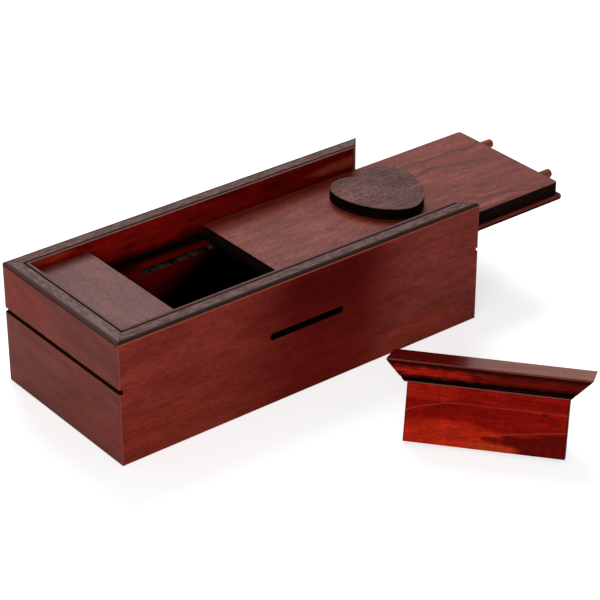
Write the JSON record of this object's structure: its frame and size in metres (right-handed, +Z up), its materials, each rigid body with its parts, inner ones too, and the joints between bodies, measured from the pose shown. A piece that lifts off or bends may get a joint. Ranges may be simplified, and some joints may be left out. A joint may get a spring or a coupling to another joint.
{
  "type": "wooden puzzle box",
  "caption": "Wooden puzzle box, shown open: a sliding lid with a heart-shaped knob and locking pins, and the mitred end piece that frees it standing in front.",
  "frame": {"origin": "middle of the box's underside, on the surface it stands on", "axes": "+X along the box to the end where the lid slides out, +Y to the rear wall, +Z up"},
  "size_m": [0.2404, 0.1843, 0.0545],
  "materials": {
    "stained_wall": "red-brown stain, satin",
    "stained_end": "red-brown stain, satin",
    "stained_floor": "red-brown stain, matt",
    "stained_plate": "red-brown stain, satin",
    "stained_lid": "red-brown stain, satin",
    "stained_runner": "red-brown stain, satin",
    "dark_heart": "dark brown stain, satin",
    "bare_dowel": "light stain, matt",
    "stained_strip": "red-brown stain, satin",
    "red_plate": "bright red-brown stain, satin"
  },
  "bodies": {
    "carcass": {"front_wall": "stained_wall", "rear_wall": "stained_wall", "left_end_wall": "stained_end", "right_end_wall": "stained_end", "floor_panel": "stained_floor", "left_cover_plate": "stained_plate"},
    "lid": {"lid_board": "stained_lid", "lid_runner_board": "stained_runner", "lid_heart": "dark_heart", "lid_pin_front": "bare_dowel", "lid_pin_rear": "bare_dowel"},
    "end_piece": {"end_strip": "stained_strip", "end_plate": "red_plate"}
  },
  "joints": [
    {"name": "lid_slide", "type": "slide", "parent": "carcass", "child": "lid", "axis": [1, 0, 0], "range_m": [-0.0827, 0.06]},
    {"name": "end_piece_lift", "type": "slide", "parent": "carcass", "child": "end_piece", "axis": [0, 0, 1], "range_m": [0, 0.08]}
  ]
}
